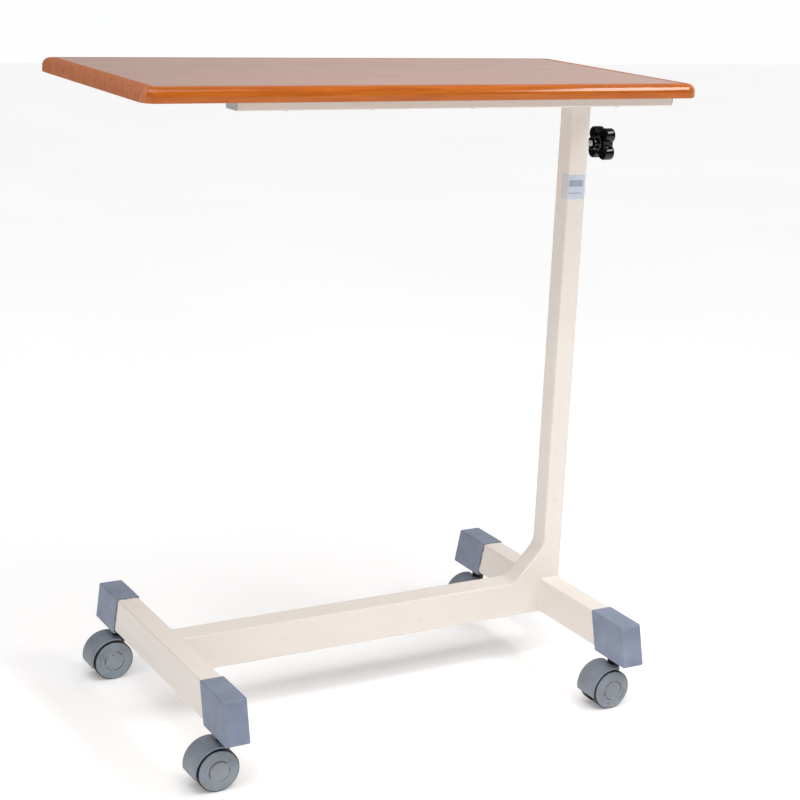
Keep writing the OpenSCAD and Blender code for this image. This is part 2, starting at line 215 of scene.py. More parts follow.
def discFinish():
    p, look = Finish("discPlastic"), discLook
    cloud = p.noise(30, 4, 0.6)
    colour = p.ramp(cloud, [(0.28, look["dark"]), (0.5, look["tone"]), (0.74, look["light"])])
    film = p.noise(52, 5, 0.7).above(0.56, 0.14)
    colour = p.mix(film * 0.38, colour, look["film"])
    spots = p.specks(95, 0.2) * p.noise(60, 3).above(0.58, 0.04)
    colour = p.mix(spots * 0.75, colour, look["spot"])
    place = p.axes()
    across = (place - look["middle"]).magnitude() - look["half"]
    upward = place.out("Z") - look["height"]
    reach = (across * across + upward * upward).power(0.5)
    soft = look["ringSoft"]
    ring = reach.above(look["ringFrom"], soft) * (1 - reach.above(look["ringTo"], soft))
    rust = ring * p.noise(75, 3, 0.6).above(0.49, 0.05)       # a stained ring round each wheel's hub
    colour = p.mix(rust * 0.8, colour, look["rust"])
    fine = p.stretched((1, 1, 0.2), (0.2, 0, 0.7))
    scratch = p.noise(700, 2, 0.5, 0.3, fine).above(0.7, 0.03)
    colour = p.mix(scratch * 0.3, colour, look["scratch"])
    normal = p.bump(p.noise(1300, 2), 0.00005, 0.5, p.bump(spots, 0.0001, 0.6))
    return p.done(Base_Color=colour, Roughness=0.42 + film * 0.2, Normal=normal,
                  Specular_IOR_Level=0.45)


tyreLook = {"dark": (0.012, 0.012, 0.015), "light": (0.035, 0.034, 0.036), "dust": (0.15, 0.13, 0.11)}


def tyreFinish():
    p = Finish("darkTyre")
    colour = p.ramp(p.noise(40, 4, 0.6), [(0.3, tyreLook["dark"]), (0.7, tyreLook["light"])])
    dust = p.noise(110, 5, 0.7).above(0.6, 0.1)
    colour = p.mix(dust * 0.35, colour, tyreLook["dust"])
    normal = p.bump(p.noise(1200, 3), 0.0001, 0.6)
    return p.done(Base_Color=colour, Roughness=0.62 + dust * 0.2, Normal=normal)


# Wood with its grain along one axis of the frame; along is 0, 1 or 2 for X, Y or Z
def woodFinish(name, along, look):
    p = Finish(name)
    stretch = [1.0, 1.0, 1.0]
    stretch[along] = look["stretch"]
    fibreFlow, poreFlow = (p.stretched([s * longer if s < 1 else s for s in stretch])
                           for longer in (0.35, 0.22))
    wander = p.noise(5, 2, 0.5, 0, p.stretched([s * 0.5 for s in stretch]))
    rings = p.noise(look["rings"], 5, 0.62, look["bend"], p.stretched(stretch))
    fibre = p.noise(look["fibre"], 3, 0.6, 0.1, fibreFlow)
    tone = rings * 0.72 + fibre * 0.28
    colour = p.ramp(tone, look["stops"])
    colour = p.mix(wander.above(0.52, 0.2) * 0.3, colour, look["blush"])
    pore = p.noise(look["fibre"] * 1.6, 2, 0.5, 0, poreFlow).above(0.66, 0.05)
    colour = p.mix(pore * look["poreDepth"], colour, look["pore"])
    for place, size, depth, shade in look["knots"]:
        away = p.add("ShaderNodeVectorMath", {"operation": "DISTANCE"}, {0: p.point, 1: place}, "Value")
        blot = 1 - (away + p.noise(400, 2) * size * 0.8).above(size * 1.3, size * 0.4)
        colour = p.mix(blot * depth, colour, shade)
    normal = p.bump(tone, look["relief"], 0.5, p.bump(p.noise(14, 2), 0.0004, look["wave"]))
    rough = look["rough"] + rings * 0.08 + pore * 0.1
    coat = look["coat"]
    if look["topDull"]:                       # worn duller where it faces up
        coat = coat * (1 - p.axes("Normal").out("Z").above(0.86, 0.14) * look["topDull"])
    return p.done(Base_Color=colour, Roughness=rough, Normal=normal, Coat_Weight=coat,
                  Coat_Roughness=look["coatRough"], Specular_IOR_Level=look["gloss"])


# Bright metal with fine drawn lines and dull tarnished patches
def metalFinish(name, tone, rough, mark):
    p = Finish(name)
    cloud = p.noise(160, 4, 0.6)
    colour = p.ramp(cloud, [(0.3, tuple(c * 0.8 for c in tone)), (0.7, tone)])
    tarnish = p.noise(90, 5, 0.7).above(0.64, 0.08)
    colour = p.mix(tarnish * 0.5, colour, mark)
    lines = p.noise(2500, 2, 0.5, 0, p.stretched((1, 1, 0.08)))
    return p.done(Base_Color=colour, Metallic=1 - tarnish * 0.5, Normal=p.bump(lines, 0.00002, 0.5),
                  Roughness=rough + cloud * 0.15 + tarnish * 0.25)


knobShine = {"dark": (0.0006, 0.0006, 0.0008), "light": (0.0016, 0.0016, 0.002),
             "dust": (0.2, 0.19, 0.18),
             "coat": 0.9, "coatLost": 0.84}       # the flat ends are duller than the rim


def knobFinish():
    p, look = Finish("blackGloss"), knobShine
    cloud = p.noise(70, 4, 0.6)
    colour = p.ramp(cloud, [(0.3, look["dark"]), (0.75, look["light"])])
    dust = p.noise(220, 5, 0.7).above(0.66, 0.06)
    colour = p.mix(dust * 0.03, colour, look["dust"])
    normal = p.bump(p.noise(90, 2), 0.0002, 0.2, p.bump(p.noise(1100, 2), 0.00003, 0.3))
    flat = p.axes("Normal").magnitude().above(0.7, 0.25)
    return p.done(Base_Color=colour, Roughness=0.13 + cloud * 0.08 + dust * 0.2, Normal=normal,
                  Specular_IOR_Level=0.0, Coat_Weight=look["coat"] - flat * look["coatLost"],
                  Coat_Roughness=0.12)


# Raw chipboard: flat chips of many tones
def boardFinish():
    p = Finish("rawBoard")
    chips = p.add("ShaderNodeTexVoronoi", {"distance": "CHEBYCHEV"},
                  {"Vector": p.stretched((1, 0.45, 1), (0, 0, 0.5)), "Scale": 420}, "Color")
    tone = p.add("ShaderNodeSeparateColor", None, {0: chips})
    colour = p.ramp(tone, [(0.0, (0.20, 0.115, 0.055)), (0.45, (0.42, 0.27, 0.15)),
                           (1.0, (0.62, 0.45, 0.28))])
    colour = p.mix(p.noise(9, 3) * 0.4, colour, (0.36, 0.22, 0.12))
    return p.done(Base_Color=colour, Roughness=0.68 + tone * 0.15, Normal=p.bump(tone, 0.00012, 0.5))


lippingLook = {
    "stretch": 0.045, "rings": 210, "bend": 0.5, "fibre": 900, "relief": 0.00008, "wave": 0.1,
    "stops": [(0.30, (0.335, 0.071, 0.005)), (0.46, (0.420, 0.099, 0.007)),
              (0.58, (0.480, 0.125, 0.010)), (0.75, (0.550, 0.170, 0.022))],
    "blush": (0.42, 0.085, 0.010), "pore": (0.20, 0.036, 0.005), "poreDepth": 0.3,
    "rough": 0.42, "coat": 0.9, "topDull": 0.85, "coatRough": 0.11, "gloss": 0.05,
    # each knot's place, size, depth and colour
    "knots": [((0.3715, -0.180, 0.853), 1.4 * mm, 0.85, (0.06, 0.03, 0.05)),
              ((-0.356, -0.180, 0.848), 1.2 * mm, 0.5, (0.16, 0.05, 0.02))],
}
endLippingLook = dict(lippingLook)            # end grain: paler, coarser and matt
endLippingLook.update({
    "stretch": 0.2, "rings": 170, "rough": 0.6, "coat": 0.0, "topDull": 0, "gloss": 0.0,
    "stops": [(0.30, (0.36, 0.118, 0.052)), (0.46, (0.43, 0.155, 0.076)),
              (0.58, (0.48, 0.186, 0.097)), (0.75, (0.54, 0.236, 0.138))],
    "blush": (0.38, 0.118, 0.050),
    "knots": [((-0.384, 0.088, 0.852), 3.0 * mm, 0.35, (0.20, 0.06, 0.02)),
              ((-0.381, -0.070, 0.857), 2.0 * mm, 0.5, (0.16, 0.04, 0.015)),
              ((-0.384, -0.058, 0.852), 1.6 * mm, 0.45, (0.18, 0.05, 0.02))],
})
laminateLook = {
    "stretch": 0.07, "rings": 95, "bend": 1.1, "fibre": 640, "relief": 0.00003, "wave": 0.05,
    "stops": [(0.30, (0.225, 0.074, 0.032)), (0.45, (0.315, 0.120, 0.056)),
              (0.58, (0.400, 0.170, 0.088)), (0.74, (0.480, 0.230, 0.135))],
    "blush": (0.31, 0.108, 0.050), "pore": (0.17, 0.052, 0.021), "poreDepth": 0.4,
    "rough": 0.30, "coat": 0.2, "topDull": 0, "coatRough": 0.25, "gloss": 0.5, "knots": [],
}
finishes = {
    "paint": paintFinish(),
    "cap": plasticFinish("capPlastic", (0.208, 0.246, 0.338), (0.30, 0.27, 0.235), 0.22, 0.40),
    "hood": plasticFinish("hoodPlastic", (0.213, 0.242, 0.290), (0.29, 0.25, 0.20), 0.3, 0.36),
    "disc": discFinish(),
    "tyre": tyreFinish(),
    "nylon": plasticFinish("blackNylon", (0.012, 0.012, 0.014), (0.10, 0.09, 0.08), 0.2, 0.42),
    "plug": plasticFinish("plugPlastic", (0.42, 0.44, 0.49), (0.3, 0.27, 0.24), 0.2, 0.45),
    "knob": knobFinish(),
    "lipping": woodFinish("lippingWood", 0, lippingLook),
    "endLipping": woodFinish("endLippingWood", 2, endLippingLook),
    "laminate": woodFinish("woodLaminate", 0, laminateLook),
    "board": boardFinish(),
    "zinc": metalFinish("zincSteel", (0.62, 0.62, 0.63), 0.28, (0.30, 0.24, 0.19)),
    "brass": metalFinish("brassPad", (0.75, 0.55, 0.22), 0.25, (0.30, 0.18, 0.08)),
}
print("finishes made:", len(finishes))


def meshPiece(name, points, faces):
    mesh = bpy.data.meshes.new(name)
    mesh.from_pydata([tuple(p) for p in points], [], faces)
    piece = bpy.data.objects.new(name, mesh)
    bpy.context.scene.collection.objects.link(piece)
    return piece


# Merges doubles, turns faces outwards and marks edges sharper than the angle
def tidyMesh(mesh, sharpAngle):
    work = bmesh.new()
    work.from_mesh(mesh)
    bmesh.ops.remove_doubles(work, verts=work.verts, dist=0.01 * mm)
    bmesh.ops.dissolve_degenerate(work, edges=work.edges, dist=0.005 * mm)
    bmesh.ops.recalc_face_normals(work, faces=work.faces)
    for face in work.faces:
        face.smooth = True
    for edge in work.edges:
        edge.smooth = len(edge.link_faces) == 2 and edge.calc_face_angle(0) < math.radians(sharpAngle)
    work.to_mesh(mesh)
    work.free()
    mesh.update()


# Turns what the modifiers make into a plain mesh
def settle(piece):
    shown = piece.evaluated_get(bpy.context.evaluated_depsgraph_get())
    mesh = bpy.data.meshes.new_from_object(shown)
    mesh.name = piece.name
    piece.modifiers.clear()
    piece.data = mesh
    return piece


# Every piece ends here: clean mesh, soft edges, finish, and what it rides on and stands for
def finishPiece(piece, body, finish, nodes=(), bevel=0.0, sharpAngle=32):
    tidyMesh(piece.data, sharpAngle)
    if bevel:
        cut = piece.modifiers.new("edges", "BEVEL")
        cut.width, cut.segments, cut.limit_method = bevel, 3, "ANGLE"
        cut.angle_limit, cut.harden_normals = math.radians(30), True
    even = piece.modifiers.new("normals", "WEIGHTED_NORMAL")
    even.keep_sharp = True
    settle(piece)
    piece.data.materials.clear()
    piece.data.materials.append(finishes[finish])
    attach(piece, body)
    if nodes:
        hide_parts(*nodes)
    return piece


def boxMesh(low, high):
    (x0, y0, z0), (x1, y1, z1) = low, high
    points = [(x, y, z) for x in (x0, x1) for y in (y0, y1) for z in (z0, z1)]
    faces = [(0, 1, 3, 2), (4, 6, 7, 5), (0, 4, 5, 1), (2, 3, 7, 6), (0, 2, 6, 4), (1, 5, 7, 3)]
    return points, faces


# A skin over sections, each a ring of points; its ends are closed, or meet when it loops
def skin(sections, loops=False):
    points = [p for section in sections for p in section]
    size, count = len(sections[0]), len(sections)
    faces = []
    for i in range(count if loops else count - 1):
        a, b = i * size, (i + 1) % count * size
        faces += [(a + j, a + (j + 1) % size, b + (j + 1) % size, b + j) for j in range(size)]
    if not loops:
        faces += [tuple(range(size)), tuple(range((count - 1) * size, count * size))]
    return points, faces


# Turns a closed outline of (radius, height) points about Z; outlineAt gives it for each angle
def latheBy(outlineAt, steps):
    sections = []
    for i in range(steps):
        a = 2 * math.pi * i / steps
        sections.append([(r * math.cos(a), r * math.sin(a), h) for r, h in outlineAt(a)])
    return skin(sections, loops=True)


def lathe(outline, steps):
    return latheBy(lambda angle: outline, steps)


def arcPoints(centre, radius, start, end, steps):
    turns = [math.radians(start + (end - start) * i / steps) for i in range(steps + 1)]
    return [(centre[0] + radius * math.cos(t), centre[1] + radius * math.sin(t)) for t in turns]


# Steps (along, inset) that round an end off, up to along = end
def roundOver(end, edge):
    turns = [math.pi / 2 * i / 7 for i in range(8)]
    return [(end - edge + edge * math.sin(t), edge - edge * math.cos(t)) for t in turns]


def turned(part, matrix):
    points, faces = part
    return [tuple(matrix @ Vector(p)) for p in points], faces


def joined(*parts):
    points, faces = [], []
    for some, loops in parts:
        start = len(points)
        points += some
        faces += [tuple(start + i for i in face) for face in loops]
    return points, faces


# A new geometry tree with its named inputs: label, kind and default
def geometryTree(name, inputs):
    tree = bpy.data.node_groups.new(name, "GeometryNodeTree")
    for label, kind, value in inputs:
        socket = tree.interface.new_socket(label, in_out="INPUT", socket_type=kind)
        if value is not None:
            socket.default_value = value
    tree.interface.new_socket("Geometry", in_out="OUTPUT", socket_type="NodeSocketGeometry")
    return tree, addNode(tree, "NodeGroupInput")


def endTree(tree, geometry):
    real = addNode(tree, "GeometryNodeRealizeInstances", None, {0: geometry})
    painted = addNode(tree, "GeometryNodeSetMaterial", None,
                      {0: real, "Material": addNode(tree, "NodeGroupInput").out("Material")})
    addNode(tree, "NodeGroupOutput", None, {0: painted})


# Runs a tree on a new object and leaves its result as a plain mesh, moved by place
def growPiece(name, tree, values, place=Matrix()):
    piece = meshPiece(name, [], [])
    growth = piece.modifiers.new("growth", "NODES")
    growth.node_group = tree
    for item in tree.interface.items_tree:
        if item.in_out == "INPUT" and item.name in values:
            growth[item.identifier] = values[item.name]
    piece.update_tag()
    bpy.context.view_layer.update()
    settle(piece)
    piece.data.transform(place)
    return piece


def together(tree, parts):
    whole = addNode(tree, "GeometryNodeJoinGeometry")
    for part in parts:
        tree.links.new(part.socket, whole.socket.node.inputs[0])
    return whole


# Rectangular tube along X, centred, with rounded corners and an open bore
def tubeTree():
    tree, entry = geometryTree("rectangularTube", [
        ("Length", "NodeSocketFloat", 0.5), ("Width", "NodeSocketFloat", 0.03),
        ("Height", "NodeSocketFloat", 0.05), ("Wall", "NodeSocketFloat", 0.0015),
        ("Corner", "NodeSocketFloat", 0.0025), ("Material", "NodeSocketMaterial", None)])
    wall, corner = entry.out("Wall"), entry.out("Corner")
    loops = []
    for inset, least in ((0.0, 0.0), (1.0, 0.0004)):
        shape = addNode(tree, "GeometryNodeCurvePrimitiveQuadrilateral", {"mode": "RECTANGLE"}, {
            "Width": entry.out("Width") - wall * (2 * inset),
            "Height": entry.out("Height") - wall * (2 * inset)})
        loops.append(addNode(tree, "GeometryNodeFilletCurve", {"mode": "POLY"}, {
            0: shape, "Count": 5, "Radius": corner.maths("MAXIMUM", corner - wall * inset, least)}))
    sheet = addNode(tree, "GeometryNodeFillCurve", {"mode": "TRIANGLES"}, {0: together(tree, loops)})
    raised = addNode(tree, "GeometryNodeExtrudeMesh", {"mode": "FACES"}, {
        0: sheet, "Offset Scale": entry.out("Length"), "Individual": False,
        "Offset": (0.0, 0.0, 1.0)})
    whole = together(tree, (raised, addNode(tree, "GeometryNodeFlipFaces", None, {0: sheet})))
    shift = addNode(tree, "ShaderNodeCombineXYZ", None, {2: entry.out("Length") * -0.5})
    for change in ({"Translation": shift}, {"Rotation": (0, math.pi / 2, 0)},
                   {"Rotation": (math.pi / 2, 0, 0)}):
        whole = addNode(tree, "GeometryNodeTransform", None, {0: whole, **change})
    endTree(tree, whole)
    return tree


# The same small thing set at each point of a guide mesh
def scatterTree():
    tree, entry = geometryTree("setAtPoints", [
        ("Places", "NodeSocketObject", None), ("Thing", "NodeSocketObject", None),
        ("Turn", "NodeSocketFloat", 3.0), ("Seed", "NodeSocketInt", 4),
        ("Material", "NodeSocketMaterial", None)])
    places, thing = (
        addNode(tree, "GeometryNodeObjectInfo", None, {"Object": entry.out(label)}).out("Geometry")
        for label in ("Places", "Thing"))
    chance = addNode(tree, "FunctionNodeRandomValue", {"data_type": "FLOAT"},
                     {2: 0.0, 3: 1.0, "Seed": entry.out("Seed")}, 1)
    turn = addNode(tree, "ShaderNodeCombineXYZ", None, {2: chance * entry.out("Turn")})
    endTree(tree, addNode(tree, "GeometryNodeInstanceOnPoints", None,
                          {"Points": places, "Instance": thing, "Rotation": turn}))
    return tree


trees = {"tube": tubeTree(), "scatter": scatterTree()}
print("geometry trees made")


# bury is how far a tube's end runs into the one that it is welded to
weldment = {"corner": 2.3 * mm, "wall": 1.5 * mm, "bury": 2.3 * mm, "weld": 5.5 * mm, "fold": 10 * mm,
            "gussetEdge": 2.4 * mm}


# A tube that fills the box from low to high, with its length along axis
def tubeIn(name, low, high, axis, wall, corner, finish):
    size = high - low
    turn = [Matrix(), Matrix.Rotation(math.pi / 2, 4, "Z"), Matrix.Rotation(-math.pi / 2, 4, "Y")][axis]
    return growPiece(name, trees["tube"], {
        "Length": size[axis], "Width": size[0 if axis == 1 else 1], "Height": size[0 if axis == 2 else 2],
        "Wall": wall, "Corner": corner, "Material": finishes[finish]},
        Matrix.Translation((low + high) / 2) @ turn)


# A painted tube over a CAD node's box, its ends lengthened along the axis by grow = (low, high)
def tubeOver(name, node, axis, body, grow=(0, 0), corner=weldment["corner"], wall=weldment["wall"]):
    low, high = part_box(node)
    low[axis] -= grow[0]
    high[axis] += grow[1]
    piece = tubeIn(name, low, high, axis, wall, corner, "paint")
    return finishPiece(piece, body, "paint", [node])


bury = weldment["bury"]
tubeOver("leftCrossBar", "left_cross_bar", 1, "base")
tubeOver("rightCrossBar", "right_cross_bar", 1, "base")
tubeOver("longBar", "long_bar", 0, "base", (bury, bury))
tubeOver("outerColumn", "outer_column", 2, "base", (bury, 0))


# The folded wedge between column and long bar, its back buried in both
def gussetPiece():
    low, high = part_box("column_gusset")
    outline = [(low[0], low[2]), (low[0], low[2] - bury), (high[0] + bury, low[2] - bury),
               (high[0] + bury, high[2]), (high[0], high[2])]
    sections = [[(x, y, z) for x, z in outline] for y in (low[1], high[1])]
    piece = meshPiece("columnGusset", *skin(sections))
    work = bmesh.new()
    work.from_mesh(piece.data)
    bmesh.ops.recalc_face_normals(work, faces=work.faces)
    onSlope = {v for v in work.verts for end in (low, high)
               if abs(v.co.x - end[0]) < 1e-6 and abs(v.co.z - end[2]) < 1e-6}
    sides = [e for e in work.edges if onSlope.issuperset(e.verts)
             and abs(e.verts[0].co.y - e.verts[1].co.y) < 1e-6]
    bmesh.ops.bevel(work, geom=sides, offset=weldment["gussetEdge"], segments=5, profile=0.5,
                    affect="EDGES")
    work.to_mesh(piece.data)
    work.free()
    return finishPiece(piece, "base", "paint", ["column_gusset"])


gussetPiece()


# A smooth hollow fillet between two faces that meet along a line from start to end
def filletMesh(start, end, alongA, alongB, leg):
    alongA, alongB = Vector(alongA).normalized(), Vector(alongB).normalized()
    into = -(alongA + alongB).normalized()
    sections = []
    for corner in (Vector(start), Vector(end)):
        a, b = corner + alongA * leg, corner + alongB * leg
        section = [a * (1 - t) ** 2 + corner * 2 * t * (1 - t) + b * t ** 2 + into * 0.04 * mm
                   for t in [i / 9 for i in range(10)]]
        sections.append(section + [corner + into * 0.8 * mm])
    return skin(sections)


def weldFillets():
    barLow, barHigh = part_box("long_bar")
    colLow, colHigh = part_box("outer_column")
    gusLow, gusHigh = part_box("column_gusset")
    leg, fold, end = weldment["weld"], weldment["fold"], 0.5 * mm
    parts = []
    for x, along in ((barLow[0], 1), (barHigh[0], -1)):          # long bar to both cross bars
        for y, out in ((barLow[1], -1), (barHigh[1], 1)):
            parts.append(filletMesh((x, y, barLow[2] + end), (x, y, barHigh[2] - 2 * end),
                                    (along, 0, 0), (0, out, 0), leg))
    for y, out in ((colLow[1], -1), (colHigh[1], 1)):            # column's foot on the cross bar
        parts.append(filletMesh((colLow[0], y, colLow[2]), (colHigh[0] - end, y, colLow[2]),
                                (0, out, 0), (0, 0, 1), leg * 0.8))
    slope = (gusHigh[0] - gusLow[0], 0, gusHigh[2] - gusLow[2])
    down = tuple(-c for c in slope)
    front, back = gusLow[1] + 2 * end, gusHigh[1] - 2 * end      # the gusset's two folds
    for (x, _, z), one, two in ((gusHigh, down, (0, 0, 1)), (gusLow, (-1, 0, 0), slope)):
        parts.append(filletMesh((x, front, z), (x, back, z), one, two, fold))
    piece = meshPiece("weldFillets", *joined(*parts))
    return finishPiece(piece, "base", "paint", sharpAngle=60)


weldFillets()
print("base frame made")


def roundedOutline(width, height, radius, steps=5):
    points = []
    for sx, sy, start in ((1, 1, 0), (-1, 1, 90), (-1, -1, 180), (1, -1, 270)):
        middle = (sx * (width / 2 - radius), sy * (height / 2 - radius))
        points += arcPoints(middle, radius, start, start + 90, steps)
    return points


capLook = {"lean": 14.5 * mm, "edge": 1.8 * mm, "endEdge": 3.2 * mm, "rim": 1.25 * mm,
           "rimDepth": 4 * mm, "ribs": 4, "ribLong": 17 * mm, "ribTall": 1.0 * mm,
           "ribPitch": 3.3 * mm, "ribTop": 7.5 * mm, "ribProud": 0.3 * mm}


# A leaning sleeve: open rim at the tube side, rounded edges, fine ribs on the outer end
def endCap(corner):
    low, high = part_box("end_cap_" + corner)
    side = -1 if "front" in corner else 1
    width, height = high[0] - low[0], high[2] - low[2]
    inner = min(abs(low[1]), abs(high[1]))
    length = max(abs(low[1]), abs(high[1])) - inner - capLook["lean"]
    middle = ((low[0] + high[0]) / 2, (low[2] + high[2]) / 2)
    edge, endEdge = capLook["edge"], capLook["endEdge"]

    def place(x, along, z):
        drop = (height / 2 - z) / height * capLook["lean"]
        return middle[0] + x, side * (inner + along + drop), middle[1] + z

    rim = capLook["rim"]
    steps = [(capLook["rimDepth"], rim), (0.15 * mm, rim), (0, rim - 0.2 * mm), (0, 0.35 * mm),
             (0.12 * mm, 0.1 * mm), (0.4 * mm, 0), (1 * mm, 0)]
    steps += [(length * t, 0) for t in (0.2, 0.4, 0.6, 0.8)] + [(length - endEdge - 0.5 * mm, 0)]
    steps += roundOver(length, endEdge) + [(length, endEdge + 1 * mm), (length, 9 * mm)]
    sections = []
    for along, inset in steps:
        radius = max(edge + inset * 0.4 - 0.2 * mm, 0.4 * mm)
        outline = roundedOutline(width - 2 * inset, height - 2 * inset, radius, 6)
        sections.append([place(x, along, z) for x, z in outline])
    parts = [skin(sections)]
    proud, tall, long = capLook["ribProud"], capLook["ribTall"], capLook["ribLong"]
    for i in range(capLook["ribs"]):
        z = height / 2 - capLook["ribTop"] - i * capLook["ribPitch"]
        rib = []
        for out, inset in ((-0.5 * mm, 0), (proud * 0.5, 0.05 * mm), (proud, 0.28 * mm)):
            outline = roundedOutline(long - 2 * inset, tall - 2 * inset, tall / 2 - inset - 0.01 * mm, 3)
            rib.append([place(x, length + out, z + dz) for x, dz in outline])
        parts.append(skin(rib))
    piece = meshPiece("endCap_" + corner, *joined(*parts))
    return finishPiece(piece, "base", "cap", ["end_cap_" + corner])


for corner in corners:
    endCap(corner)


socketLook = {"collar": 8.6 * mm, "body": 8 * mm, "bore": 5.05 * mm, "soft": 0.5 * mm, "roof": 4 * mm}


# Sockets: the collar that shows between cap and hood, and the body pressed up into the tube
def socketPiece():
    low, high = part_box("stem_sockets")
    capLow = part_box("end_cap_front_left")[0][2]
    collar, body, bore, soft, roof = socketLook.values()
    outline = [(bore, low[2] + soft), (bore + soft, low[2])]
    outline += arcPoints((collar - soft, low[2] + soft), soft, -90, 0, 3)
    outline += [(collar, capLow), (body, capLow), (body, high[2] - soft), (body - soft, high[2]),
                (0, high[2]), (0, high[2] - roof), (bore, high[2] - roof)]
    parts = [turned(lathe(outline, 40), Matrix.Translation((x, y, 0)))
             for x in (low[0] + collar, high[0] - collar) for y in (low[1] + collar, high[1] - collar)]
    piece = meshPiece("stemSockets", *joined(*parts))
    return finishPiece(piece, "base", "nylon", ["stem_sockets"])


socketPiece()
print("caps and sockets made")


# The hood runs round the axle between two angles in degrees; its neck has one groove
castor = {"wall": 2.2 * mm, "inside": 30.4 * mm, "width": 40 * mm, "from": 72, "to": 191,
          "lip": 0.8 * mm, "web": 5 * mm, "webFrom": 0.6 * mm, "boss": 7 * mm, "stemLow": 37 * mm,
          "neck": 8.6 * mm, "neckBore": 5.1 * mm, "neckLow": 47 * mm, "neckSoft": 0.6 * mm,
          "groove": 56 * mm, "grooveTall": 1.4 * mm, "grooveDeep": 0.5 * mm}


# Sweeps an outline of (radius, offset across) about the axle
def sweepAbout(outline, start, end, steps):
    sections = []
    for i in range(steps + 1):
        a = math.radians(start + (end - start) * i / steps)
        sections.append([(r * math.cos(a), y, r * math.sin(a)) for r, y in outline])
    return skin(sections)


def cylinderMesh(radius, low, high, steps):
    edge = 0.4 * mm
    return lathe([(0, low), (radius - edge, low), (radius, low + edge), (radius, high - edge),
                  (radius - edge, high), (0, high)], steps)


# The hood with its web and bosses, and the black neck ring on its stem
def hoodPiece(corner, axle, stem):
    inside, wall, half, lip = castor["inside"], castor["wall"], castor["width"] / 2, castor["lip"]
    outside, quarter = inside + wall, (0.5, 1.0, math.pi / 2)
    shell = [(inside, half - lip)] + [(inside + lip - lip * math.cos(t), half - lip + lip * math.sin(t))
                                      for t in quarter]
    shell += [(outside - lip + lip * math.sin(t), half - lip + lip * math.cos(t))
              for t in (0.0, *quarter)]
    shell += [(outside, half * 0.5), (outside, 0)]
    shell += [(r, -y) for r, y in reversed(shell[:-1])]
    shell += [(inside, -half * 0.5), (inside, 0), (inside, half * 0.5)]
    thin, webTo = castor["web"] / 2, inside + wall / 2
    web = [(castor["webFrom"], -thin), (castor["webFrom"], thin), (webTo, thin), (webTo, -thin)]
    boss, reach, top = castor["boss"], stem - axle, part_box("hood_" + corner)[1][2]
    axleBoss = turned(cylinderMesh(boss, -boss, boss, 32), Matrix.Rotation(-math.pi / 2, 4, "X"))
    stemBoss = turned(cylinderMesh(boss, castor["stemLow"] - axle.z, top - axle.z - 1 * mm, 40),
                      Matrix.Translation((reach.x, reach.y, 0)))
    parts = joined(sweepAbout(shell, castor["from"], castor["to"], 74),
                   sweepAbout(web, castor["from"], castor["to"], 60), axleBoss, stemBoss)
    piece = meshPiece("hood_" + corner + "_shell", *turned(parts, Matrix.Translation(axle)))
    finishPiece(piece, "castor_" + corner, "hood", ["hood_" + corner], sharpAngle=38)
    neck, bore, low, soft, groove, tall, deep = (castor[key] for key in (
        "neck", "neckBore", "neckLow", "neckSoft", "groove", "grooveTall", "grooveDeep"))
    outline = [(bore, low), (neck, low), (neck, groove), (neck - deep, groove + 0.4 * mm),
               (neck - deep, groove + tall - 0.4 * mm), (neck, groove + tall), (neck, top - soft),
               (neck - soft * 0.3, top - soft * 0.3), (neck - soft, top), (bore, top)]
    place = Matrix.Translation((stem.x, stem.y, 0))
    ring = meshPiece("neck_" + corner, *turned(lathe(outline, 40), place))
    finishPiece(ring, "castor_" + corner, "nylon")


wheelLook = {"disc": 26.5 * mm, "face": 19.2 * mm, "dome": 2.3 * mm, "in": 7.4 * mm, "bore": 3.05 * mm,
             "hub": 6.5 * mm, "rimIn": 22.2 * mm, "rimOut": 24.6 * mm, "tyreEdge": 18.4 * mm,
             "tyre": 28 * mm, "stepIn": 13.6 * mm, "stepOut": 20.6 * mm, "stepFrom": 38, "stepTo": 208,
             "stepDeep": 0.9 * mm, "ringAt": 13.2 * mm, "ringDeep": 0.55 * mm, "web": 16.4 * mm,
             "spin": {"front_left": 0, "back_left": 25, "front_right": 150, "back_right": 70}}


# 0 below the edge and 1 above it, blended over soft, as Wire.above does in a tree
def ease(x, edge, soft):
    t = min(1, max(0, (x - edge + soft) / (2 * soft)))
    return t * t * (3 - 2 * t)


# How far the wheel's face stands out at a radius and angle: dome, crescent step and a fine ring
def faceHeight(r, angle):
    w = wheelLook
    height = w["face"] + w["dome"] * (1 - (r / w["disc"]) ** 2.4)
    turn = (angle - w["stepFrom"]) % 360
    span = w["stepTo"] - w["stepFrom"]
    inArc = ease(turn, 0, 3) * (1 - ease(turn, span, 3)) if turn < span + 30 else 0
    inRing = ease(r, w["stepIn"], 0.4 * mm) * (1 - ease(r, w["stepOut"], 0.4 * mm))
    ring = math.exp(-((r - w["ringAt"]) / (0.45 * mm)) ** 2)
    return height - w["stepDeep"] * inArc * inRing - w["ringDeep"] * ring * (1 - inArc)


